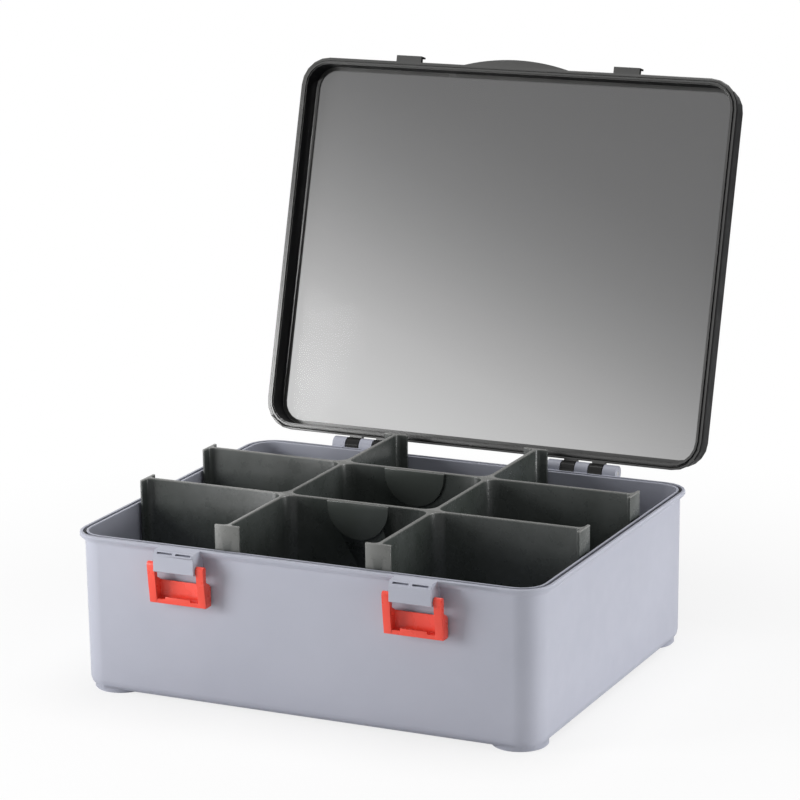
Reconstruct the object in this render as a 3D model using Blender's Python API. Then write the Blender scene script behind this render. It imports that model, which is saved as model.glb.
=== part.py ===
"""Bait box: a moulded tub with a hinged, windowed lid, two swing-up latches and a lift-out 3 by 3 insert.

Metres, +Z up, front of the box towards -Y. The lid is modelled shut and turned open about its hinge axis.
"""
import math

import bmesh
import bpy
from mathutils import Matrix, Vector

# Overall sizes of the box, flange edge to flange edge
box_width = 0.320
box_depth = 0.2595
rim_height = 0.1030
corner_radius = 0.020
running_gap = 0.0003
cut_overrun = 0.0010
weld_distance = 0.00001
corner_steps = 5
round_steps = 20

# Tub
foot_height = 0.0013
foot_radius = 0.0176
foot_chamfer = 0.0006
foot_inset = 0.0232
foot_sink = 0.0030
wall_inset_top = 0.0034
wall_inset_bottom = 0.0041
wall_thickness = 0.0025
floor_thickness = 0.0034
bottom_fillet = 0.0070
floor_fillet = 0.0014
fillet_steps = 3
rim_edge_height = 0.0030
rim_chamfer = 0.0005
rim_band = 0.0019
groove_width = 0.0024
groove_depth = 0.0030

# Seal in the groove of the rim
seal_thickness = 0.0016
seal_chamfer = 0.0005

# Lid
lid_height = 0.0208
lid_flange_thickness = 0.0030
lid_chamfer = 0.0004
lid_band = 0.0020
lid_groove_depth = 0.0009
lid_groove_width = 0.0006
tongue_thickness = 0.0012
tongue_drop = 0.0012
lid_lip_width = 0.0007
lid_inner_draft = 0.0002
lid_inner_depth = 0.0147
ledge_width = 0.0023
ledge_thickness = 0.0013
lid_wall_inset = 0.0020
lid_wall_draft = 0.0004
lid_wall_cove = 0.0004
pocket_wall = 0.0018
lid_top_fillet = 0.0014
lid_fillet_steps = 3
lid_open_angle = math.radians(106)

# Window in the lid
window_thickness = 0.0030
window_boss_height = 0.0008
window_bevel = 0.0005

# Grip lip on the front of the lid
grip_chord = 0.0760
grip_rise = 0.0050
grip_steps = 14

# Hinges
hinge_setback = 0.0062
hinge_spacing = 0.1590
knuckle_radius = 0.0053
knuckle_pitch = 0.0100
knuckle_gap = 0.0006
pin_radius = 0.0015
web_thickness = 0.0026
stop_heel_width = 0.0026

# Latch brackets on the tub
latch_spacing = 0.1600
bracket_half_width = 0.0139
bracket_reach = 0.0096
bracket_drop = 0.0004
bracket_bevel_depth = 0.0024
bracket_bevel_height = 0.0034
bracket_plate_height = 0.0102
bracket_edge = 0.0004
bracket_web = 0.0022
bracket_root_drop = 0.0185
slit_height = 0.0011
slit_rib = 0.0024
slit_depth = 0.0045

# Latch levers, hanging down from their pivots
pivot_reach = 0.0057
pivot_drop = 0.0122
trunnion_radius = 0.0013
trunnion_length = 0.0030
lever_side_gap = 0.0006
arm_width = 0.0051
arm_half_depth = 0.0021
arm_rise = 0.0036
arm_neck_drop = 0.0089
lever_drop = 0.0233
lever_depth = 0.0070
lever_lean = 0.0030
lever_panel = 0.0012
lever_panel_back = 0.0003
lever_panel_drop = 0.0098
lever_root = 0.0012
crossbar_height = 0.0027
ridge_height = 0.0016
ridge_thickness = 0.0015
ridge_half_width = 0.0088

# Catch lugs on the lid, rooted in its flange as the grip is
lug_root = 0.0010
lug_half_width = 0.0093
lug_reach = 0.0042
lug_lip = 0.0012
lug_height = 0.0070

# Lift-out insert
insert_rise = 0.0155
insert_wall = 0.0020
insert_inset = 0.0075
insert_wall_x = 0.0512
insert_wall_y = 0.0421
post_width = 0.0169
post_thickness = 0.0018
insert_fillet = 0.0050
post_fillet = 0.0034
insert_fillet_steps = 4
pad_radius = 0.0212
pad_thickness = 0.0014
pad_drop = 0.0006
pad_straight = 0.0026
pad_steps = 20

# Places that follow from the sizes above
half_width = box_width / 2
half_depth = box_depth / 2
wall_inner_top = wall_inset_top + wall_thickness
wall_inner_bottom = wall_inset_bottom + wall_thickness
floor_top = foot_height + floor_thickness
lid_rim = running_gap
lid_centre_y = -(hinge_setback + half_depth)
hinge_y = half_depth + hinge_setback
lid_lip_start = lid_band + lid_groove_width + tongue_thickness
lid_inner = lid_lip_start + lid_lip_width
ledge_start = lid_inner + lid_inner_draft
pocket_floor = lid_inner_depth + ledge_thickness
lid_wall_top = lid_wall_inset + lid_wall_draft
bore_radius = pin_radius + running_gap
pivot_y = -(half_depth + pivot_reach)
pivot_z = rim_height - pivot_drop
arm_start = bracket_half_width + lever_side_gap


def clear_scene():
    for item in list(bpy.data.objects):
        bpy.data.objects.remove(item, do_unlink=True)


def plastic(name, colour, roughness, alpha=1.0, metallic=0.0):
    """A Principled material in the piece's own colour."""
    material = bpy.data.materials.new(name)
    material.use_nodes = True
    shader = material.node_tree.nodes["Principled BSDF"]
    shader.inputs["Base Color"].default_value = (*colour, 1.0)
    shader.inputs["Roughness"].default_value = roughness
    shader.inputs["Metallic"].default_value = metallic
    shader.inputs["Alpha"].default_value = alpha
    material.diffuse_color = (*colour, alpha)
    return material


def finish_mesh(name, mesh_builder):
    """Turn a bmesh into a closed object whose faces point out."""
    bmesh.ops.remove_doubles(mesh_builder, verts=mesh_builder.verts, dist=weld_distance)
    bmesh.ops.recalc_face_normals(mesh_builder, faces=mesh_builder.faces)
    mesh = bpy.data.meshes.new(name)
    mesh_builder.to_mesh(mesh)
    mesh_builder.free()
    item = bpy.data.objects.new(name, mesh)
    bpy.context.collection.objects.link(item)
    return item


def rounded_ring(inset, height, centre_y=0):
    """Points round the box outline, drawn in by inset from the flange edge."""
    radius = corner_radius - inset
    reach_x = half_width - corner_radius
    reach_y = half_depth - corner_radius
    points = []
    for quarter in range(4):
        sign_x = 1 if quarter in (0, 3) else -1
        sign_y = 1 if quarter in (0, 1) else -1
        for step in range(corner_steps + 1):
            angle = math.radians(90) * (quarter + step / corner_steps)
            x = sign_x * reach_x + radius * math.cos(angle)
            y = sign_y * reach_y + radius * math.sin(angle)
            points.append(Vector((x, y + centre_y, height)))
    return points


def loft(name, stations, centre_y=0, ring_closed=False):
    """Sweep a wall section, given as (inset, height) stations, round the box outline."""
    builder = bmesh.new()
    rings = []
    for inset, height in stations:
        ring = [builder.verts.new(p) for p in rounded_ring(inset, height, centre_y)]
        rings.append(ring)
    pairs = list(zip(rings, rings[1:]))
    if ring_closed:
        pairs.append((rings[-1], rings[0]))
    for low, high in pairs:
        count = len(low)
        for i in range(count):
            j = (i + 1) % count
            builder.faces.new((low[i], low[j], high[j], high[i]))
    if not ring_closed:
        builder.faces.new(rings[0])
        builder.faces.new(rings[-1])
    return finish_mesh(name, builder)


def prism(name, loops, low, high, axis="Z"):
    """Extrude an outline, the first loop, with any holes, the other loops, from low to high along an axis."""
    builder = bmesh.new()
    edges = []
    for loop in loops:
        verts = [builder.verts.new((a, b, 0)) for a, b in loop]
        edges += [builder.edges.new((v, verts[i - 1])) for i, v in enumerate(verts)]
    bmesh.ops.triangle_fill(builder, edges=edges, use_beauty=True, use_dissolve=False)
    faces = list(builder.faces)
    top = bmesh.ops.extrude_face_region(builder, geom=faces, use_keep_orig=True)
    moved = [g for g in top["geom"] if isinstance(g, bmesh.types.BMVert)]
    bmesh.ops.translate(builder, verts=moved, vec=(0, 0, high - low))
    # the outline's own axes, laid along the two world axes across the extrusion
    turn = {
        "Z": Matrix(((1, 0, 0), (0, 1, 0), (0, 0, 1))),
        "X": Matrix(((0, 0, 1), (1, 0, 0), (0, 1, 0))),
    }[axis]
    for vert in builder.verts:
        vert.co = turn @ (vert.co + Vector((0, 0, low)))
    return finish_mesh(name, builder)


def arc(centre, radius, start, end, steps):
    """Points on an arc from start to end, both in degrees."""
    points = []
    for step in range(steps + 1):
        angle = math.radians(start + (end - start) * step / steps)
        points.append((centre[0] + radius * math.cos(angle), centre[1] + radius * math.sin(angle)))
    return points


def circle(centre, radius, steps=round_steps):
    return arc(centre, radius, 0, 360 * (steps - 1) / steps, steps - 1)


def rectangle(low_a, high_a, low_b, high_b):
    return [(low_a, low_b), (high_a, low_b), (high_a, high_b), (low_a, high_b)]


def combine(target, tools, operation):
    """Fuse the tools to the target, or cut them out of it, and drop the tools."""
    for tool in tools:
        step = target.modifiers.new(operation, "BOOLEAN")
        step.operation = operation
        step.solver = "EXACT"
        step.object = tool
    bpy.context.view_layer.update()
    evaluated = target.evaluated_get(bpy.context.evaluated_depsgraph_get())
    mesh = bpy.data.meshes.new_from_object(evaluated)
    mesh.name = target.name
    builder = bmesh.new()
    builder.from_mesh(mesh)
    bmesh.ops.remove_doubles(builder, verts=builder.verts, dist=weld_distance)
    bmesh.ops.dissolve_degenerate(builder, edges=builder.edges, dist=weld_distance)
    builder.to_mesh(mesh)
    builder.free()
    target.modifiers.clear()
    old = target.data
    target.data = mesh
    bpy.data.meshes.remove(old)
    for tool in tools:
        bpy.data.objects.remove(tool, do_unlink=True)
    return target


def move_mesh(item, offset):
    item.data.transform(Matrix.Translation(offset))
    return item


def dress(item, material, smooth_angle=35):
    item.data.materials.clear()
    item.data.materials.append(material)
    item.data.shade_smooth()
    item.data.set_sharp_from_angle(angle=math.radians(smooth_angle))
    return item


def axis_empty(name, place, parent, turn_x=0):
    """An empty on a joint's axis, which carries the pieces that move with it."""
    empty = bpy.data.objects.new(name, None)
    empty.location = place
    empty.rotation_euler = (turn_x, 0, 0)
    empty.parent = parent
    bpy.context.collection.objects.link(empty)
    return empty


def tub_stations():
    """The tub's wall section from the middle of its underside, over the rim and down to the floor inside."""
    stations = []
    for step in range(fillet_steps + 1):
        angle = math.radians(90) * step / fillet_steps
        inset = wall_inset_bottom + bottom_fillet * (1 - math.sin(angle))
        stations.append((inset, foot_height + bottom_fillet * (1 - math.cos(angle))))
    edge_low = rim_height - rim_edge_height
    wall_high = edge_low - wall_inset_top + rim_chamfer
    stations += [
        (wall_inset_top, wall_high),
        (rim_chamfer, edge_low),
        (0, edge_low + rim_chamfer),
        (0, rim_height - rim_chamfer),
        (rim_chamfer, rim_height),
        (rim_band, rim_height),
        (rim_band, rim_height - groove_depth),
        (rim_band + groove_width, rim_height - groove_depth),
        (rim_band + groove_width, rim_height),
        (wall_inner_top - rim_chamfer, rim_height),
        (wall_inner_top, rim_height - rim_chamfer),
    ]
    for step in range(fillet_steps + 1):
        angle = math.radians(90) * step / fillet_steps
        inset = wall_inner_bottom + floor_fillet * (1 - math.cos(angle))
        stations.append((inset, floor_top + floor_fillet * (1 - math.sin(angle))))
    return stations


def make_foot(name, sign_x, sign_y):
    """A low round foot under one corner of the tub, with a chamfered tread."""
    centre_x = sign_x * (half_width - foot_inset)
    centre_y = sign_y * (half_depth - foot_inset)
    builder = bmesh.new()
    bmesh.ops.create_cone(
        builder,
        cap_ends=True,
        segments=round_steps * 2,
        radius1=foot_radius - foot_chamfer,
        radius2=foot_radius,
        depth=foot_chamfer,
    )
    rim = [v for v in builder.verts if v.co.z > 0]
    cap = [f for f in builder.faces if all(v in rim for v in f.verts)]
    up = bmesh.ops.extrude_face_region(builder, geom=cap)
    raised = [g for g in up["geom"] if isinstance(g, bmesh.types.BMVert)]
    bmesh.ops.delete(builder, geom=[f for f in cap if f.is_valid], context="FACES_ONLY")
    bmesh.ops.translate(builder, verts=raised, vec=(0, 0, foot_height + foot_sink - foot_chamfer))
    bmesh.ops.translate(builder, verts=builder.verts, vec=(centre_x, centre_y, foot_chamfer / 2))
    return finish_mesh(name, builder)


def knuckle_spans(for_lid):
    """The stretches along X of one hinge's knuckles, about the hinge's middle: three on the tub, two on the lid."""
    slots = (-1, 1) if for_lid else (-2, 0, 2)
    spans = []
    for slot in slots:
        middle = slot * knuckle_pitch
        half = (knuckle_pitch - knuckle_gap) / 2
        spans.append((middle - half, middle + half))
    return spans


def knuckle_parts(web_low, web_high, heel):
    """Side views of a knuckle's parts about the hinge axis: a bored barrel, a web, and on the lid a stop heel."""
    inside = -knuckle_radius / 2
    parts = [[circle((0, 0), knuckle_radius), circle((0, 0), bore_radius)]]
    parts.append([rectangle(-(hinge_setback + rim_band - rim_chamfer), inside, web_low, web_high)])
    if heel:
        # with the lid open the heel's flat end stands just clear of the tub's rim
        turn_back = Matrix.Rotation(lid_open_angle, 2)
        block = rectangle(running_gap - hinge_setback, inside, -stop_heel_width, 0)
        parts.append([[tuple(turn_back @ Vector(corner)) for corner in block]])
    return parts


def make_knuckles(name, centre_x, axis_y, axis_z, for_lid):
    """One hinge's knuckles for the tub or for the lid, each a barrel on a web."""
    if for_lid:
        low, high = lid_rim, lid_rim + lid_flange_thickness
    else:
        low, high = -web_thickness, -running_gap / 2
    pieces = []
    for start, end in knuckle_spans(for_lid):
        for loops in knuckle_parts(low, high, for_lid):
            piece = prism(name, loops, centre_x + start, centre_x + end, "X")
            pieces.append(move_mesh(piece, (0, axis_y, axis_z)))
    return pieces


def bracket_outline():
    """Side view of a latch bracket, in Y and Z: flat top, bevel, upright front, and an underside back to the wall."""
    front = -(half_depth + bracket_reach)
    top = rim_height - bracket_drop
    shoulder = top - bracket_bevel_height
    low = shoulder - bracket_plate_height
    wall = -(half_depth - wall_inset_top - wall_thickness / 2)
    return [
        (front, low + bracket_edge),
        (front + bracket_edge, low),
        (front + bracket_web, low),
        (wall, top - bracket_root_drop),
        (wall, shoulder),
        (-(half_depth - rim_band / 2), shoulder),
        (-(half_depth - rim_band / 2), top),
        (front + bracket_bevel_depth, top),
        (front, shoulder),
    ]


def bracket_slits(centre_x):
    """The two slits side by side in the bracket's bevel, with a rib between them."""
    front = -(half_depth + bracket_reach)
    middle = rim_height - bracket_drop - bracket_bevel_height / 2
    outer = bracket_half_width - bracket_web
    cuts = []
    for sign in (-1, 1):
        low, high = sorted((sign * slit_rib / 2, sign * outer))
        outline = rectangle(front, front + slit_depth, middle - slit_height / 2, middle + slit_height / 2)
        cuts.append(prism("slit", [outline], centre_x + low, centre_x + high, "X"))
    return cuts


def trunnion_holes(centre_x):
    """Blind holes in the bracket's sides for the lever's trunnions."""
    deep = bracket_half_width - trunnion_length + lever_side_gap - running_gap
    radius = trunnion_radius + running_gap
    holes = []
    for sign in (-1, 1):
        low, high = sorted((sign * deep, sign * (bracket_half_width + cut_overrun)))
        hole = prism("hole", [circle((pivot_y, pivot_z), radius)], centre_x + low, centre_x + high, "X")
        holes.append(hole)
    return holes


def make_tub(material):
    """The tub with its rim, feet, rear hinge knuckles and front latch brackets, all one moulding."""
    tub = loft("box_body", tub_stations())
    joined = []
    for sign_x in (-1, 1):
        for sign_y in (-1, 1):
            joined.append(make_foot("foot", sign_x, sign_y))
        joined += make_knuckles("knuckle", sign_x * hinge_spacing / 2, hinge_y, rim_height, False)
        middle = sign_x * latch_spacing / 2
        low, high = middle - bracket_half_width, middle + bracket_half_width
        joined.append(prism("bracket", [bracket_outline()], low, high, "X"))
    combine(tub, joined, "UNION")
    cuts = []
    for sign_x in (-1, 1):
        cuts += bracket_slits(sign_x * latch_spacing / 2)
        cuts += trunnion_holes(sign_x * latch_spacing / 2)
    combine(tub, cuts, "DIFFERENCE")
    return dress(tub, material)


def make_seal(material):
    """The rubber seal lying in the groove of the rim."""
    low = rim_height - groove_depth + running_gap
    high = low + seal_thickness
    inner = rim_band + groove_width - running_gap
    outer = rim_band + running_gap
    stations = [
        (outer, low),
        (outer, high - seal_chamfer),
        (outer + seal_chamfer, high),
        (inner - seal_chamfer, high),
        (inner, high - seal_chamfer),
        (inner, low),
    ]
    return dress(loft("rim_seal", stations, ring_closed=True), material)


def lid_stations():
    """The lid frame's wall section about the hinge axis: flange, tongue, inner wall, window ledge and outer wall."""
    z = lid_rim
    tongue = lid_band + lid_groove_width
    top = z + lid_height
    pocket = lid_wall_top + pocket_wall
    section = [
        (0, z + lid_chamfer),
        (lid_chamfer, z),
        (lid_band, z),
        (lid_band, z + lid_groove_depth),
        (tongue, z + lid_groove_depth),
        (tongue, z - tongue_drop),
        (lid_lip_start, z - tongue_drop),
        (lid_lip_start, z),
        (lid_inner, z),
        (ledge_start, z + lid_inner_depth),
        (ledge_start + ledge_width, z + lid_inner_depth),
        (ledge_start + ledge_width, z + pocket_floor),
        (pocket, z + pocket_floor),
        (pocket, top),
    ]
    centre = (lid_wall_top + lid_top_fillet, top - lid_top_fillet)
    section += arc(centre, lid_top_fillet, 90, 180, lid_fillet_steps)
    section += [
        (lid_wall_inset, z + lid_flange_thickness + lid_wall_cove),
        (lid_wall_inset - lid_wall_cove, z + lid_flange_thickness),
        (lid_chamfer, z + lid_flange_thickness),
        (0, z + lid_flange_thickness - lid_chamfer),
    ]
    return section


def make_lid(parent, material):
    """The lid frame with its grip lip, two catch lugs and hinge knuckles, in place about the hinge axis."""
    lid = loft("lid_frame", lid_stations(), centre_y=lid_centre_y, ring_closed=True)
    front = lid_centre_y - half_depth
    z = lid_rim
    joined = []
    bow = (grip_chord ** 2 / 4 + grip_rise ** 2) / (2 * grip_rise)
    spread = math.degrees(math.asin(grip_chord / 2 / bow))
    outline = arc((0, front - grip_rise + bow), bow, 270 - spread, 270 + spread, grip_steps)
    outline += [(grip_chord / 2, front + lug_root), (-grip_chord / 2, front + lug_root)]
    joined.append(prism("grip", [outline], z, z + lid_flange_thickness))
    for sign_x in (-1, 1):
        middle = sign_x * latch_spacing / 2
        tip = front - lug_reach
        profile = [
            (front + lug_root, z),
            (front + lug_root, z + lid_flange_thickness),
            (tip + lug_lip, z + lid_flange_thickness),
            (tip + lug_lip, z + lug_height),
            (tip, z + lug_height),
            (tip, z),
        ]
        joined.append(prism("lug", [profile], middle - lug_half_width, middle + lug_half_width, "X"))
        joined += make_knuckles("knuckle", sign_x * hinge_spacing / 2, 0, 0, True)
    combine(lid, joined, "UNION")
    lid.parent = parent
    return dress(lid, material)


def make_window(parent, material):
    """The clear window: a plate seated in the lid's pocket, with a bevelled boss that fills the ledge's opening."""
    seat = lid_rim + pocket_floor + running_gap
    edge = lid_wall_top + pocket_wall + running_gap
    boss = ledge_start + ledge_width + running_gap
    stations = [
        (boss + window_bevel, seat - window_boss_height),
        (boss, seat - window_boss_height + window_bevel),
        (boss, seat),
        (edge, seat),
        (edge, seat + window_thickness - window_bevel),
        (edge + window_bevel, seat + window_thickness),
    ]
    window = loft("lid_window", stations, centre_y=lid_centre_y)
    window.parent = parent
    return dress(window, material)


def make_hinge_pin(name, centre_x, parent, material):
    half = (knuckle_pitch * len((*knuckle_spans(True), *knuckle_spans(False))) - knuckle_gap) / 2
    pin = prism(name, [circle((0, 0), pin_radius)], centre_x - half, centre_x + half, "X")
    pin.location = (0, hinge_y, rim_height)
    pin.parent = parent
    return dress(pin, material)


def insert_loops():
    """Plan of the insert: four crossing walls with a post plate at each end, filleted where walls meet."""
    half = insert_wall / 2
    end_x = half_width - insert_inset
    end_y = half_depth - insert_inset
    steps = insert_fillet_steps
    r, p = insert_fillet, post_fillet
    x_in, x_out = insert_wall_x - half, insert_wall_x + half
    y_in, y_out = insert_wall_y - half, insert_wall_y + half
    post_x, post_y = end_x - post_thickness, end_y - post_thickness
    reach = post_width / 2
    # one quarter, from the middle of the right side round to the middle of the back
    quarter = []
    quarter += arc((post_x - p, y_in - p), p, 90, 0, steps)
    quarter.append((post_x, insert_wall_y - reach))
    quarter.append((end_x, insert_wall_y - reach))
    quarter.append((end_x, insert_wall_y + reach))
    quarter.append((post_x, insert_wall_y + reach))
    quarter += arc((post_x - p, y_out + p), p, 0, -90, steps)
    quarter += arc((x_out + r, y_out + r), r, 270, 180, steps)
    quarter += arc((x_out + p, post_y - p), p, 180, 90, steps)
    quarter.append((insert_wall_x + reach, post_y))
    quarter.append((insert_wall_x + reach, end_y))
    quarter.append((insert_wall_x - reach, end_y))
    quarter.append((insert_wall_x - reach, post_y))
    quarter += arc((x_in - p, post_y - p), p, 90, 0, steps)
    lead = arc((x_out + r, y_in - r), r, 180, 90, steps)
    tail = arc((x_in - r, y_out + r), r, 0, -90, steps)
    right_back = lead + quarter + tail
    left_back = [(-x, y) for x, y in reversed(right_back)]
    left_front = [(-x, -y) for x, y in right_back]
    right_front = [(x, -y) for x, y in reversed(right_back)]
    outer = right_back + left_back + left_front + right_front
    hole = []
    for sign_x, sign_y, start in ((1, 1, 0), (-1, 1, 90), (-1, -1, 180), (1, -1, 270)):
        hole += arc((sign_x * (x_in - r), sign_y * (y_in - r)), r, start, start + 90, steps)
    return [outer, hole]


def insert_bottom():
    return floor_top + running_gap


def make_insert(parent, material):
    """The lift-out insert, one moulding, with a half-round finger pad on the middle of each cross wall."""
    height = rim_height + insert_rise - insert_bottom()
    insert = prism("divider_insert", insert_loops(), 0, height)
    pads = []
    for sign in (-1, 1):
        face = sign * insert_wall_y - insert_wall / 2
        outline = [(-pad_radius, height - pad_drop)]
        outline += arc((0, height - pad_drop - pad_straight), pad_radius, 180, 360, pad_steps)
        outline.append((pad_radius, height - pad_drop))
        # a prism along Y: drawn in X and Z, then stood up
        pad = prism("pad", [outline], -insert_wall / 2, pad_thickness)
        pad.data.transform(Matrix.Rotation(math.radians(90), 4, "X"))
        pads.append(move_mesh(pad, (0, face, 0)))
    combine(insert, pads, "UNION")
    insert.parent = parent
    return dress(insert, material)


def lever_side():
    """Side view of an arm about its pivot, in Y and Z: a thin neck, then a deep lower part that leans in."""
    front = -arm_half_depth
    lean = lever_lean * arm_neck_drop / lever_drop
    back = front + lever_lean + lever_depth
    outline = [
        (front + lean, -arm_neck_drop),
        (front + lever_lean, -lever_drop),
        (back, -lever_drop),
        (back, -arm_neck_drop - arm_half_depth),
        (back - arm_half_depth, -arm_neck_drop),
        (arm_half_depth, arm_half_depth - arm_neck_drop),
    ]
    return outline + arc((0, arm_rise - arm_half_depth), arm_half_depth, 0, 180, fillet_steps * 2)


def make_lever(name, centre_x, parent, material):
    """A red latch lever about its pivot: two arms, a crossbar with a catch ridge, and a recessed panel."""
    inner = arm_start
    outer = arm_start + arm_width
    front = -arm_half_depth + lever_lean
    back = front + lever_depth
    bar_top = -lever_drop + crossbar_height
    panel_far = back - lever_panel_back
    lever = prism(name, [lever_side()], inner, outer, "X")
    joined = [prism("arm", [lever_side()], -outer, -inner, "X")]
    joined.append(prism("bar", [rectangle(front, back, -lever_drop, bar_top)], -inner - lever_root, inner + lever_root, "X"))
    panel = rectangle(panel_far - lever_panel, panel_far, bar_top - lever_root, -lever_panel_drop)
    joined.append(prism("panel", [panel], -inner - lever_root, inner + lever_root, "X"))
    ridge = rectangle(front, front + ridge_thickness, bar_top - lever_root, bar_top + ridge_height)
    joined.append(prism("ridge", [ridge], -ridge_half_width, ridge_half_width, "X"))
    for sign in (-1, 1):
        low, high = sorted((sign * (inner - trunnion_length), sign * (inner + lever_root)))
        joined.append(prism("trunnion", [circle((0, 0), trunnion_radius)], low, high, "X"))
    combine(lever, joined, "UNION")
    move_mesh(lever, (centre_x, 0, 0))
    lever.parent = parent
    return dress(lever, material)


def centre_over_origin(root):
    """Slide the assembly along Y so that its whole space, lid open, is centred over the origin."""
    bpy.context.view_layer.update()
    lows, highs = [], []
    for item in bpy.data.objects:
        if item.type == "MESH":
            ys = [(item.matrix_world @ v.co).y for v in item.data.vertices]
            lows.append(min(ys))
            highs.append(max(ys))
    root.location.y = -(min(lows) + max(highs)) / 2
    bpy.context.view_layer.update()


clear_scene()
grey = plastic("body_grey", (0.40, 0.41, 0.47), 0.42)
black = plastic("lid_black", (0.010, 0.010, 0.011), 0.25)
rubber = plastic("seal_rubber", (0.012, 0.012, 0.013), 0.80)
smoke = plastic("window_smoke", (0.16, 0.16, 0.17), 0.10, alpha=0.45)
dark = plastic("insert_smoke", (0.014, 0.015, 0.015), 0.22)
red = plastic("latch_red", (0.68, 0.055, 0.030), 0.32)
steel = plastic("pin_steel", (0.55, 0.55, 0.56), 0.28, metallic=1.0)

root = axis_empty("box_frame", (0, 0, 0), None)
make_tub(grey).parent = root
make_seal(rubber).parent = root
for side, sign in (("left", -1), ("right", 1)):
    make_hinge_pin("hinge_pin_" + side, sign * hinge_spacing / 2, root, steel)
lid_axis = axis_empty("lid_axis", (0, hinge_y, rim_height), root, -lid_open_angle)
make_lid(lid_axis, black)
make_window(lid_axis, smoke)
insert_slide = axis_empty("insert_slide", (0, 0, insert_bottom()), root)
make_insert(insert_slide, dark)
for side, sign in (("left", -1), ("right", 1)):
    lever_axis = axis_empty("latch_axis_" + side, (0, pivot_y, pivot_z), root)
    make_lever("latch_lever_" + side, sign * latch_spacing / 2, lever_axis, red)
centre_over_origin(root)
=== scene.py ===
import math

import bpy
from mathutils import Matrix, Vector


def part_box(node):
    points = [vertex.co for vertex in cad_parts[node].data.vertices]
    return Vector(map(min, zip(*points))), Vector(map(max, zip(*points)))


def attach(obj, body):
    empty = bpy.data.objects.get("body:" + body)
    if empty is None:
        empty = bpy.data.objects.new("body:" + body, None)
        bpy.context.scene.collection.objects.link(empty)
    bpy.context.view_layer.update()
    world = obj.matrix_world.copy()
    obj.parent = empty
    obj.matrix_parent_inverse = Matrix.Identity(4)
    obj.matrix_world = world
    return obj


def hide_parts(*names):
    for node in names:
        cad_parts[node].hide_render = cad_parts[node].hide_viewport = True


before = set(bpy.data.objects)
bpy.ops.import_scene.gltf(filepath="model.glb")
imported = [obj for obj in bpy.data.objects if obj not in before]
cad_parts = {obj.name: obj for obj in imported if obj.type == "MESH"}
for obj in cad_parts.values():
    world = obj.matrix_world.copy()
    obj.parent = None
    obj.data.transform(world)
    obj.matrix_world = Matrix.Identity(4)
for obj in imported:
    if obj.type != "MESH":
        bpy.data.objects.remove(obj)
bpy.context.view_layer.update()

# The studio: a white sweep, three soft lamps and a long lens, set to the picture's own perspective. The sweep
# turns pure white away from the box and keeps a pale shadow beside it. The air behind it is white too, as
# the camera, reflections and the clear window show it.
scene = bpy.context.scene
scene.view_settings.view_transform = "Standard"

camera_data = bpy.data.cameras.new("studio_camera")
camera_data.lens = 148.118
camera_data.sensor_width = 36
camera_data.clip_end = 50
camera = bpy.data.objects.new("studio_camera", camera_data)
scene.collection.objects.link(camera)
camera_aim = Vector((0.002056, -0.029010, 0.171276))
camera_distance = 2.1
camera_azimuth = math.radians(25.2833)
camera_elevation = math.radians(13.8997)
camera_roll = math.radians(-0.6710)
camera_turn = Matrix.Rotation(camera_azimuth, 4, "Z")
camera_turn = camera_turn @ Matrix.Rotation(math.radians(90) - camera_elevation, 4, "X")
camera_turn = camera_turn @ Matrix.Rotation(camera_roll, 4, "Z")
camera_back = camera_turn.to_3x3() @ Vector((0, 0, 1))
camera.matrix_world = Matrix.Translation(camera_aim + camera_distance * camera_back) @ camera_turn
scene.camera = camera


def soft_lamp(name, place, aim, width, power):
    """A square soft box at a place, turned to the point that it lights."""
    data = bpy.data.lights.new(name, "AREA")
    data.shape = "SQUARE"
    data.size = width
    data.energy = power
    lamp = bpy.data.objects.new(name, data)
    scene.collection.objects.link(lamp)
    lamp.location = place
    lamp.rotation_euler = (Vector(aim) - Vector(place)).to_track_quat("-Z", "Y").to_euler()
    lamp.visible_camera = False


soft_lamp("lamp_right", place=(1.9, 0.25, 0.30), aim=(0.1, 0, 0.06), width=0.8, power=27)
soft_lamp("lamp_left", place=(-0.85, -0.80, 0.30), aim=(-0.05, -0.1, 0.06), width=0.5, power=9.5)
soft_lamp("lamp_above", place=(0.1, 0.3, 2.2), aim=(0, 0, 0.1), width=1.4, power=28)


def add_node(tree, kind, values=None, operation=None):
    """A new shader node, with its operation, and with values for inputs given by name or number."""
    node = tree.nodes.new("ShaderNode" + kind)
    if operation:
        node.operation = operation
    for socket, value in (values or {}).items():
        node.inputs[socket].default_value = value
    return node


def add_links(tree, *pairs):
    """Links in a tree, each given as the output and the input that it joins."""
    for output, target in pairs:
        tree.links.new(output, target)


air_light_on_box = 0.22
world = bpy.data.worlds.new("studio_air")
scene.world = world
world.use_nodes = True
air = world.node_tree
air_background = air.nodes["Background"]
air_background.inputs["Color"].default_value = (1, 1, 1, 1)
air_path = add_node(air, "LightPath")
air_seen = add_node(air, "Math", operation="MAXIMUM")
air_clear = add_node(air, "Math", operation="MAXIMUM")
air_level = add_node(air, "MapRange", {"To Min": air_light_on_box, "To Max": 1.0})
add_links(
    air,
    (air_path.outputs["Is Camera Ray"], air_seen.inputs[0]),
    (air_path.outputs["Is Transmission Ray"], air_seen.inputs[1]),
    (air_seen.outputs[0], air_clear.inputs[0]),
    (air_path.outputs["Is Glossy Ray"], air_clear.inputs[1]),
    (air_clear.outputs[0], air_level.inputs["Value"]),
    (air_level.outputs["Result"], air_background.inputs["Strength"]),
)

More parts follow.
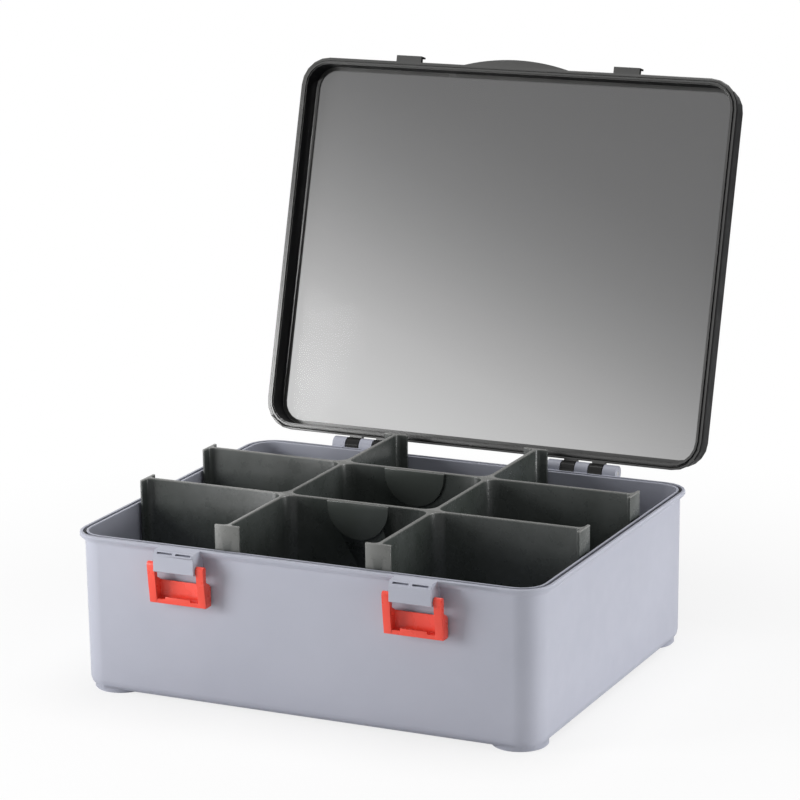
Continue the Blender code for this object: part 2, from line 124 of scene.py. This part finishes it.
shadow_reach = 0.22
white_reach = 0.54
white_by_box = 0.78
bpy.ops.mesh.primitive_plane_add(size=16, location=(0, 0, 0))
sweep = bpy.context.active_object
sweep.name = "studio_sweep"
sweep_paint = bpy.data.materials.new("sweep_paint")
sweep_paint.use_nodes = True
paint = sweep_paint.node_tree
paint.nodes.clear()
paint_out = add_node(paint, "OutputMaterial")
paint_matt = add_node(paint, "BsdfDiffuse", {"Color": (0.86, 0.86, 0.86, 1)})
paint_white = add_node(paint, "Emission", {"Color": (1, 1, 1, 1)})
paint_mix = add_node(paint, "MixShader")
paint_path = add_node(paint, "LightPath")
paint_place = add_node(paint, "TexCoord")
paint_reach = add_node(paint, "VectorMath", operation="LENGTH")
paint_fade = add_node(paint, "MapRange", {
    "From Min": shadow_reach, "From Max": white_reach, "To Min": white_by_box, "To Max": 1.0,
})
paint_fade.interpolation_type = "SMOOTHSTEP"
paint_seen = add_node(paint, "Math", operation="MAXIMUM")
paint_share = add_node(paint, "Math", operation="MULTIPLY")
add_links(
    paint,
    (paint_place.outputs["Object"], paint_reach.inputs[0]),
    (paint_reach.outputs["Value"], paint_fade.inputs["Value"]),
    (paint_path.outputs["Is Camera Ray"], paint_seen.inputs[0]),
    (paint_path.outputs["Is Transmission Ray"], paint_seen.inputs[1]),
    (paint_seen.outputs[0], paint_share.inputs[0]),
    (paint_fade.outputs["Result"], paint_share.inputs[1]),
    (paint_share.outputs[0], paint_mix.inputs["Fac"]),
    (paint_matt.outputs[0], paint_mix.inputs[1]),
    (paint_white.outputs[0], paint_mix.inputs[2]),
    (paint_mix.outputs[0], paint_out.inputs["Surface"]),
)
sweep.data.materials.append(sweep_paint)


# The tub: one injection moulding in blue-grey plastic with a fine matt grain. Its rim, feet, hinge knuckles
# and latch brackets are part of it, so there is no joint between them.
def pick(piece):
    """Make the piece the only one selected, and the one that the operators work on."""
    bpy.ops.object.select_all(action="DESELECT")
    piece.select_set(True)
    bpy.context.view_layer.objects.active = piece


def whole_copy(node, name):
    """A merged copy of a piece's solid, with its flat faces whole, ready to be worked on."""
    piece = bpy.data.objects.new(name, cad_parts[node].data.copy())
    scene.collection.objects.link(piece)
    piece.data.materials.clear()
    pick(piece)
    bpy.ops.object.mode_set(mode="EDIT")
    bpy.ops.mesh.select_all(action="SELECT")
    bpy.ops.mesh.remove_doubles(threshold=0.00001)
    bpy.ops.mesh.dissolve_limited(angle_limit=math.radians(0.5))
    bpy.ops.mesh.select_all(action="DESELECT")
    bpy.ops.object.mode_set(mode="OBJECT")
    return piece


def finish_piece(piece, material, body, node):
    """Shade the piece, give it its material, and let it stand for its solid on its body."""
    piece.data.materials.append(material)
    pick(piece)
    bpy.ops.object.shade_smooth_by_angle(angle=math.radians(38))
    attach(piece, body)
    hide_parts(node)


def grained_surface(name, dark, light, roughness, grain=0.05, grain_scale=2600, edge=0.0003, cloud=14,
                    shine=0.5):
    """A material with a faintly cloudy colour, uneven gloss, a fine grain and softened edges."""
    material = bpy.data.materials.new(name)
    material.use_nodes = True
    tree = material.node_tree
    shader = tree.nodes["Principled BSDF"]
    shader.inputs["Specular IOR Level"].default_value = shine
    place = add_node(tree, "TexCoord")
    clouds = add_node(tree, "TexNoise", {"Scale": cloud, "Detail": 5})
    tint = add_node(tree, "ValToRGB")
    for stop, position, colour in zip(tint.color_ramp.elements, (0.32, 0.68), (dark, light)):
        stop.position = position
        stop.color = (*colour, 1)
    gloss = add_node(tree, "TexNoise", {"Scale": cloud * 5, "Detail": 3})
    gloss_range = add_node(tree, "MapRange", {
        "From Min": 0.3, "From Max": 0.7, "To Min": roughness[0], "To Max": roughness[1],
    })
    pits = add_node(tree, "TexNoise", {"Scale": grain_scale, "Detail": 2})
    bump = add_node(tree, "Bump", {"Strength": grain, "Distance": 0.0002})
    soft = add_node(tree, "Bevel", {"Radius": edge})
    soft.samples = 4
    add_links(
        tree,
        (place.outputs["Object"], clouds.inputs["Vector"]),
        (place.outputs["Object"], gloss.inputs["Vector"]),
        (place.outputs["Object"], pits.inputs["Vector"]),
        (clouds.outputs["Fac"], tint.inputs["Fac"]),
        (tint.outputs["Color"], shader.inputs["Base Color"]),
        (gloss.outputs["Fac"], gloss_range.inputs["Value"]),
        (gloss_range.outputs["Result"], shader.inputs["Roughness"]),
        (pits.outputs["Fac"], bump.inputs["Height"]),
        (soft.outputs["Normal"], bump.inputs["Normal"]),
        (bump.outputs["Normal"], shader.inputs["Normal"]),
    )
    return material


tub_plastic = grained_surface("tub_plastic", dark=(0.380, 0.392, 0.458), light=(0.410, 0.422, 0.490),
                              roughness=(0.40, 0.52), grain=0.08)
tub = whole_copy("box_body", "tub")
finish_piece(tub, tub_plastic, "tub", "box_body")
# its large flat walls keep their own normals, so that all of the rounding shows in the fillets
bpy.ops.object.modifier_add(type="WEIGHTED_NORMAL")
tub_normals = tub.modifiers[-1]
tub_normals.keep_sharp = True
tub_normals.weight = 100
bpy.ops.object.modifier_apply(modifier=tub_normals.name)

# The seal: a soft black rubber cord with the dull skin of extruded rubber. It is pushed into the groove of
# the rim and stays there by its own grip.
seal_rubber = grained_surface("seal_rubber", dark=(0.010, 0.010, 0.011), light=(0.020, 0.020, 0.021),
                              roughness=(0.60, 0.78), grain=0.25, grain_scale=1500)
seal = whole_copy("rim_seal", "seal")
finish_piece(seal, seal_rubber, "tub", "rim_seal")

# The lid frame: one black moulding with its lugs, grip lip and knuckles. Its walls are satin and stay dark,
# the faces that meet the tub's rim are polished and carry a painted highlight, a lighter grey base colour,
# and its knuckles are glossy. The outermost strip on the right gets no painted highlight, so it keeps the
# satin.
lid_open = math.radians(106)
rim_facing = Vector((0, -math.sin(lid_open), -math.cos(lid_open)))
least_rim_facing = 0.60
knuckle_reach = 0.0060
dark_strip = 0.0026
lid_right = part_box("lid_frame")[1].x
pin_low, pin_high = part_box("hinge_pin_left")
hinge_axis = (pin_low + pin_high) / 2
lid_plastic = grained_surface("lid_plastic", dark=(0.0025, 0.0025, 0.0028), light=(0.0050, 0.0050, 0.0054),
                              roughness=(0.34, 0.46), grain=0.06, grain_scale=1800, shine=0.03)
# the polished faces' lighter grey base colour is a painted highlight, and their lower roughness and higher
# shine are real gloss
lid_polish_and_painted_highlight = grained_surface("lid_polish_and_painted_highlight", dark=(0.030, 0.030, 0.029), light=(0.045, 0.045, 0.043),
                             roughness=(0.20, 0.28), grain=0.02, grain_scale=1800, cloud=9, shine=0.75)
lid_gloss = grained_surface("lid_gloss", dark=(0.006, 0.006, 0.006), light=(0.010, 0.010, 0.010),
                            roughness=(0.10, 0.18), grain=0.03, grain_scale=1800, edge=0.0004, shine=0.25)
lid = whole_copy("lid_frame", "lid")
finish_piece(lid, lid_plastic, "lid", "lid_frame")
lid.data.materials.append(lid_polish_and_painted_highlight)
lid.data.materials.append(lid_gloss)
# faces near the hinge get the gloss black; faces that meet the rim, apart from the right strip, get the
# painted highlight
for face in lid.data.polygons:
    if math.hypot(face.center.y - hinge_axis.y, face.center.z - hinge_axis.z) < knuckle_reach:
        face.material_index = 2
    elif face.normal.dot(rim_facing) > least_rim_facing and face.center.x < lid_right - dark_strip:
        face.material_index = 1

# The window: a clear plate, smoked grey, seated in the lid frame. Its smoke is painted thinner towards the
# lower left of the open lid, a painted reflection, and a fine haze lies on it.
painted_reflection_run = (-0.634, 0, -1.609)
painted_reflection_start = -0.616
painted_reflection_end = -0.133
# the smoke's levels along the run: real smoke, thinned towards the lower left as a painted reflection
smoke_and_reflection_stops = (
    (0.0, 0.66), (0.25, 0.64), (0.42, 0.575), (0.55, 0.505), (0.67, 0.42), (0.80, 0.33), (1.0, 0.22),
)
window = whole_copy("lid_window", "window")
window_plastic = bpy.data.materials.new("window_plastic")
window_plastic.use_nodes = True
glaze = window_plastic.node_tree
glaze_shader = glaze.nodes["Principled BSDF"]
glaze_shader.inputs["Roughness"].default_value = 0.08
glaze_shader.inputs["Specular IOR Level"].default_value = 0.15
glaze_place = add_node(glaze, "TexCoord")
glaze_run = add_node(glaze, "VectorMath", {1: painted_reflection_run}, operation="DOT_PRODUCT")
glaze_range = add_node(glaze, "MapRange", {"From Min": painted_reflection_start, "From Max": painted_reflection_end})
glaze_smoke_and_reflection = add_node(glaze, "ValToRGB")
glaze_smoke_and_reflection.color_ramp.interpolation = "B_SPLINE"
smoke_and_reflection_ramp = glaze_smoke_and_reflection.color_ramp.elements
for index, (position, level) in enumerate(smoke_and_reflection_stops):
    stop = smoke_and_reflection_ramp[index] if index < 2 else smoke_and_reflection_ramp.new(position)
    stop.position = position
    stop.color = (level, level, level, 1)
glaze_haze = add_node(glaze, "TexNoise", {"Scale": 9, "Detail": 4})
glaze_tint = add_node(glaze, "ValToRGB")
glaze_tint.color_ramp.elements[0].color = (0.030, 0.030, 0.032, 1)
glaze_tint.color_ramp.elements[1].color = (0.040, 0.040, 0.041, 1)
add_links(
    glaze,
    (glaze_place.outputs["Object"], glaze_run.inputs[0]),
    (glaze_run.outputs["Value"], glaze_range.inputs["Value"]),
    (glaze_range.outputs["Result"], glaze_smoke_and_reflection.inputs["Fac"]),
    (glaze_smoke_and_reflection.outputs["Color"], glaze_shader.inputs["Alpha"]),
    (glaze_place.outputs["Object"], glaze_haze.inputs["Vector"]),
    (glaze_haze.outputs["Fac"], glaze_tint.inputs["Fac"]),
    (glaze_tint.outputs["Color"], glaze_shader.inputs["Base Color"]),
)
finish_piece(window, window_plastic, "lid", "lid_window")

# The hinge pins: cut lengths of bright drawn steel wire with a faintly uneven skin, pushed through the
# knuckles of the tub and the lid.
pin_steel = grained_surface("pin_steel", dark=(0.50, 0.50, 0.51), light=(0.62, 0.62, 0.63),
                            roughness=(0.20, 0.34), grain=0.04, grain_scale=900, edge=0.0002)
pin_steel.node_tree.nodes["Principled BSDF"].inputs["Metallic"].default_value = 1.0
for side in ("left", "right"):
    pin = whole_copy("hinge_pin_" + side, "pin_" + side)
    finish_piece(pin, pin_steel, "tub", "hinge_pin_" + side)


# The insert: one thin-walled moulding in a nearly black, slightly see-through plastic that drops into the
# tub. Its walls have a cloudy tone and uneven gloss. Its top edges carry a painted highlight and its front
# plates painted light, both a paler colour, with painted shade low on a plate in front of a wall; the faces
# of its half-round finger pads are polished and carry a painted highlight, a lighter colour.
def ease_edges(piece, width, segments, wanted):
    """Round those of the piece's sharp edges whose two ends pass the wanted test."""
    mesh = piece.data
    pick(piece)
    bpy.ops.object.mode_set(mode="EDIT")
    bpy.ops.mesh.select_mode(type="EDGE")
    bpy.ops.mesh.select_all(action="DESELECT")
    bpy.ops.mesh.edges_select_sharp(sharpness=math.radians(40))
    bpy.ops.object.mode_set(mode="OBJECT")
    for edge in mesh.edges:
        if edge.select:
            a, b = (mesh.vertices[i].co for i in edge.vertices)
            edge.select = bool(wanted(a, b))
    bpy.ops.object.mode_set(mode="EDIT")
    bpy.ops.mesh.bevel(offset=width, segments=segments, affect="EDGES", clamp_overlap=True)
    bpy.ops.mesh.select_all(action="DESELECT")
    bpy.ops.object.mode_set(mode="OBJECT")


insert_low, insert_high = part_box("divider_insert")
insert_middle_y = (insert_low.y + insert_high.y) / 2
wall_half = 0.0010
wall_x = 0.0512
wall_y = 0.0421
solid_fillet = 0.0050
insert_fillet = 0.0085
top_easing = 0.0005
top_band = 0.0008
point_slack = 0.0001
pad_step = 0.0014
pad_slack = 0.0002
pad_half_width = 0.022
insert_plastic = grained_surface("insert_plastic", dark=(0.031, 0.037, 0.033), light=(0.066, 0.073, 0.070),
                                 roughness=(0.25, 0.32), grain=0.12, grain_scale=700, cloud=26, shine=0.45)
# the pads' lighter base colour is a painted highlight, and their lower roughness is real gloss
insert_pad_gloss_and_highlight = grained_surface("insert_pad_gloss_and_highlight", dark=(0.058, 0.066, 0.060), light=(0.076, 0.085, 0.079),
                             roughness=(0.18, 0.24), grain_scale=700, cloud=26)

# the painted highlight on the top edges and the painted light on the front plates come in between these
# depths under the top and behind the front, and between these distances from the middle of a wall that backs
# a plate
edge_fade = (0.0012, 0.0003)
front_fade = (0.0012, 0.0004)
rise_fade = (0.016, 0.006)
wall_fade = (0.0008, 0.0042)
edge_highlight_share = 0.62
plate_light_share = 0.50
wall_share = 0.25
pale = insert_plastic.node_tree
insert_shader = pale.nodes["Principled BSDF"]
insert_tint = insert_shader.inputs["Base Color"].links[0].from_socket
pale_place = add_node(pale, "TexCoord")
pale_axes = add_node(pale, "SeparateXYZ")
painted_edge_highlight = add_node(pale, "MapRange", {
    "From Min": insert_high.z - edge_fade[0],
    "From Max": insert_high.z - edge_fade[1],
    "To Max": edge_highlight_share,
})
painted_edge_highlight.interpolation_type = "SMOOTHSTEP"
painted_plate_light = add_node(pale, "MapRange", {
    "From Min": insert_low.y + front_fade[0],
    "From Max": insert_low.y + front_fade[1],
    "To Max": plate_light_share,
})
# near its top a plate is painted pale all along, and lower down only beside the walls behind it, with painted
# shade where a wall stands behind
pale_rise = add_node(pale, "MapRange", {
    "From Min": insert_high.z - rise_fade[0],
    "From Max": insert_high.z - rise_fade[1],
    "To Min": wall_share,
})
pale_across = add_node(pale, "Math", operation="ABSOLUTE")
pale_off_wall = add_node(pale, "Math", {1: wall_x}, operation="SUBTRACT")
pale_beside = add_node(pale, "Math", operation="ABSOLUTE")
pale_side = add_node(pale, "MapRange", {"From Min": wall_fade[0], "From Max": wall_fade[1]})
pale_side.interpolation_type = "SMOOTHSTEP"
pale_reach = add_node(pale, "Math", operation="MAXIMUM")
pale_plate = add_node(pale, "Math", operation="MULTIPLY")
pale_most = add_node(pale, "Math", operation="MAXIMUM")
# the pale grey that is mixed in is the painted highlight and painted light
painted_light_mix = add_node(pale, "Mix")
painted_light_mix.data_type = "RGBA"
painted_light_mix.inputs["B"].default_value = (0.24, 0.24, 0.23, 1)
add_links(
    pale,
    (pale_place.outputs["Object"], pale_axes.inputs[0]),
    (pale_axes.outputs["Z"], painted_edge_highlight.inputs["Value"]),
    (pale_axes.outputs["Y"], painted_plate_light.inputs["Value"]),
    (pale_axes.outputs["Z"], pale_rise.inputs["Value"]),
    (pale_axes.outputs["X"], pale_across.inputs[0]),
    (pale_across.outputs[0], pale_off_wall.inputs[0]),
    (pale_off_wall.outputs[0], pale_beside.inputs[0]),
    (pale_beside.outputs[0], pale_side.inputs["Value"]),
    (pale_side.outputs["Result"], pale_reach.inputs[0]),
    (pale_rise.outputs["Result"], pale_reach.inputs[1]),
    (painted_plate_light.outputs["Result"], pale_plate.inputs[0]),
    (pale_reach.outputs[0], pale_plate.inputs[1]),
    (pale_plate.outputs[0], pale_most.inputs[0]),
    (painted_edge_highlight.outputs["Result"], pale_most.inputs[1]),
    (pale_most.outputs[0], painted_light_mix.inputs["Factor"]),
    (insert_tint, painted_light_mix.inputs["A"]),
    (painted_light_mix.outputs["Result"], insert_shader.inputs["Base Color"]),
)

insert = whole_copy("divider_insert", "insert")
solid_centre = wall_half + solid_fillet
insert_centre = wall_half + insert_fillet
for vertex in insert.data.vertices:
    out_x = abs(vertex.co.x) - wall_x
    out_y = abs(vertex.co.y - insert_middle_y) - wall_y
    near, far = sorted((abs(out_x), abs(out_y)))
    if near > wall_half - point_slack and far < solid_centre + point_slack:
        # this point is on a crossing's fillet: the curve's centre moves out, and the point keeps its angle
        side_x = math.copysign(1, out_x)
        side_y = math.copysign(1, out_y)
        turn = math.atan2(out_y - side_y * solid_centre, out_x - side_x * solid_centre)
        new_x = side_x * insert_centre + insert_fillet * math.cos(turn)
        new_y = side_y * insert_centre + insert_fillet * math.sin(turn)
        vertex.co.x = math.copysign(wall_x + new_x, vertex.co.x)
        vertex.co.y = insert_middle_y + math.copysign(wall_y + new_y, vertex.co.y - insert_middle_y)
ease_edges(insert, top_easing, segments=3, wanted=lambda a, b: min(a.z, b.z) > insert_high.z - top_band)
finish_piece(insert, insert_plastic, "tub", "divider_insert")
insert.data.materials.append(insert_pad_gloss_and_highlight)
pad_planes = [insert_middle_y + sign * wall_y - wall_half - pad_step for sign in (-1, 1)]
for face in insert.data.polygons:
    near_pad = min(abs(face.center.y - plane) for plane in pad_planes) < pad_slack
    if near_pad and face.normal.y < -0.9 and abs(face.center.x) < pad_half_width:
        face.material_index = 1

# The latch levers: glossy red mouldings that swing on stub axles in the brackets. Each has two arms, a
# bottom bar with a ridge that hooks the lid, and a thin panel between the arms. Its outer edges are rounded.
lever_easing = 0.0013
lever_plastic = grained_surface("lever_plastic", dark=(0.78, 0.062, 0.038), light=(0.88, 0.082, 0.050),
                                roughness=(0.24, 0.32), grain_scale=1400, edge=0.0004, shine=0.45)
for side in ("left", "right"):
    lever = whole_copy("latch_lever_" + side, "lever_" + side)
    lever_low, lever_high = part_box("latch_lever_" + side)
    middle = (lever_low.x + lever_high.x) / 2
    outer = (lever_high.x - lever_low.x) / 2 - point_slack
    ease_edges(lever, lever_easing, segments=4,
               wanted=lambda a, b: min(abs(a.x - middle), abs(b.x - middle)) > outer)
    finish_piece(lever, lever_plastic, "latch_" + side, "latch_lever_" + side)
